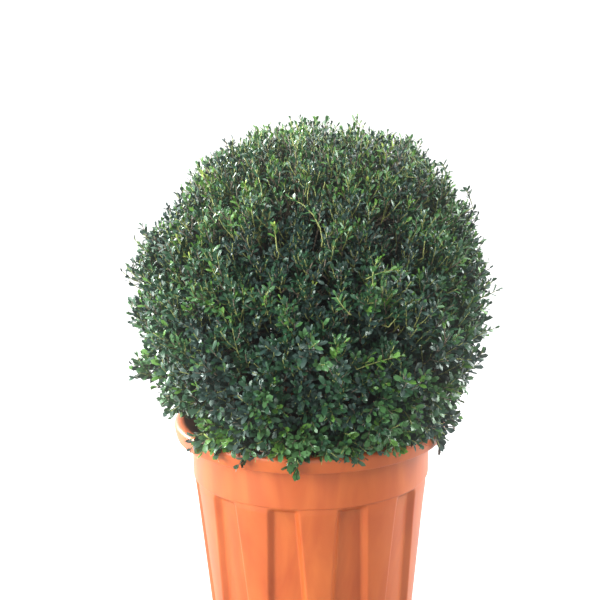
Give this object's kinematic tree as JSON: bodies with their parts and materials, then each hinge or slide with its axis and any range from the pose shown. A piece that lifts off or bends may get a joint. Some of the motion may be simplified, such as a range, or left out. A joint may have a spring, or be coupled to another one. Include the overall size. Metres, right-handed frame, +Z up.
{
  "type": "japanese holly shrub clipped to a ball in a fluted plastic pot",
  "caption": "Small-leaved evergreen holly clipped to a dense ball on a short stem, growing in a terracotta-coloured fluted plastic pot with a rolled rim",
  "frame": {"origin": "middle of the flat underside of the pot, on the surface that the pot stands on", "axes": "+Z up, along the pot's axis; -Y faces the viewer of the picture, +X is to that viewer's right"},
  "size_m": [0.4686, 0.4683, 0.7094],
  "materials": {
    "pot_plastic": "injection-moulded terracotta-coloured plastic, satin, with faint flow marks",
    "peat": "dark moist potting peat, rough and dull",
    "bark": "grey-brown bark with fine ridges",
    "foliage": "small glossy dark green leaves, yellow-green at the young tips"
  },
  "bodies": {
    "root": {"pot": "pot_plastic", "soil": "peat", "stem": "bark", "bough_1": "bark", "bough_2": "bark", "bough_3": "bark", "bough_4": "bark", "bough_5": "bark", "crown": "foliage"}
  },
  "joints": []
}
